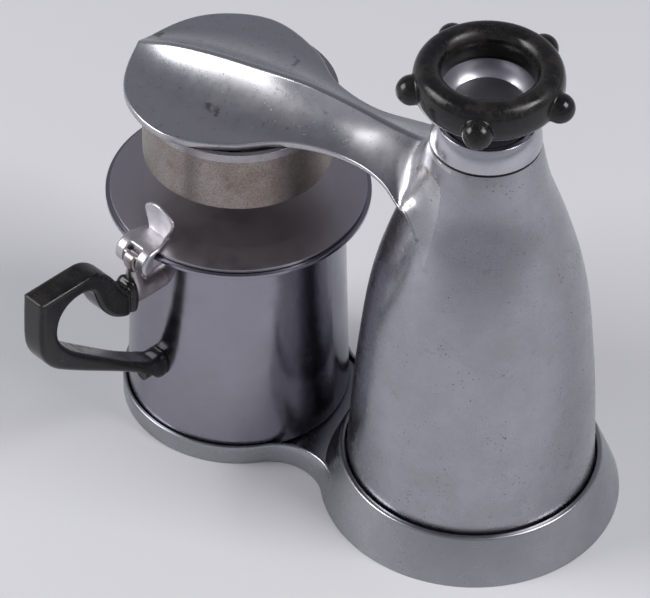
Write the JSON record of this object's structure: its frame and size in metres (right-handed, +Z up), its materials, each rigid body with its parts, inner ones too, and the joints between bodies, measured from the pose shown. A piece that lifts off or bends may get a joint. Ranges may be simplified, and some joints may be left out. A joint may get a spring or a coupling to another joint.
{
  "type": "stovetop coffee maker",
  "caption": "Cast aluminium stovetop coffee maker with a bell-shaped boiler, a hooded arm over a lidded jug, and a ring wheel on the filler plug.",
  "frame": {"origin": "centre of the boiler's floor, on the plane that the object stands on", "axes": "+Z up along the boiler's axis; the jug stands towards -X; the jug's handle points towards -Y"},
  "size_m": [0.2348, 0.178, 0.231],
  "materials": {
    "cast_aluminium": "satin cast aluminium, pitted",
    "turned_aluminium": "turned aluminium, dulled",
    "polished_aluminium": "polished aluminium",
    "stained_aluminium": "rough aluminium with coffee stains",
    "polished_steel": "darkened polished steel",
    "steel": "plain steel",
    "brass": "dull brass",
    "bracket_metal": "cast metal with brown tarnish",
    "hinge_metal": "bright worn aluminium",
    "black_moulding": "black moulded resin, dusty",
    "seal": "dark seal"
  },
  "bodies": {
    "stand": {"base_stand": "cast_aluminium", "boiler_body": "cast_aluminium", "boiler_floor": "cast_aluminium", "stand_screws": "steel", "riser_tube": "brass", "neck_collar": "turned_aluminium", "collar_gasket": "seal", "bayonet_ring": "polished_steel", "bayonet_screws": "steel", "head_gasket": "seal", "shower_screen": "polished_steel", "shower_screw": "steel"},
    "plug_lift": {"plug_gasket": "seal"},
    "plug": {"filler_plug": "turned_aluminium", "wheel_bowl": "polished_aluminium", "hub_cap": "polished_aluminium", "hand_wheel": "black_moulding", "relief_screw": "brass", "relief_spring": "steel"},
    "relief": {"relief_ball": "steel"},
    "cup": {"filter_cup": "stained_aluminium", "filter_basket": "turned_aluminium"},
    "jug": {"jug_body": "polished_aluminium", "handle_bracket": "bracket_metal", "lower_boss": "bracket_metal", "bracket_rivets": "steel", "jug_handle": "black_moulding", "handle_pins": "steel", "hinge_pin": "steel"},
    "lid": {"jug_lid": "polished_aluminium", "lid_bracket": "hinge_metal", "thumb_piece": "hinge_metal", "lid_rivets": "steel"}
  },
  "joints": [
    {"name": "plug_rise", "type": "slide", "parent": "stand", "child": "plug_lift", "axis": [0, 0, 1], "range_m": [0, 0.008]},
    {"name": "wheel_turn", "type": "hinge", "parent": "plug_lift", "child": "plug", "pos_m": [0, 0, 0.2222], "axis": [0, 0, 1], "range_deg": [0, 1440]},
    {"name": "relief_lift", "type": "slide", "parent": "plug", "child": "relief", "axis": [0, 0, 1], "range_m": [0, 0.0015], "stiffness_N_per_m": 1500, "deforming": ["relief_spring"]},
    {"name": "cup_turn", "type": "hinge", "parent": "stand", "child": "cup", "pos_m": [-0.115, 0, 0.165], "axis": [0, 0, 1], "range_deg": [0, 40]},
    {"name": "jug_lift", "type": "slide", "parent": "stand", "child": "jug", "axis": [0, 0, 1], "range_m": [0, 0.006]},
    {"name": "lid_open", "type": "hinge", "parent": "jug", "child": "lid", "pos_m": [-0.13079, -0.05892, 0.1136], "axis": [0.9659, -0.2588, 0], "range_deg": [0, 7.5]}
  ],
  "couplings": [
    {"joint": "plug_rise", "follows": "wheel_turn", "m_per_rad": 0.00031831}
  ]
}
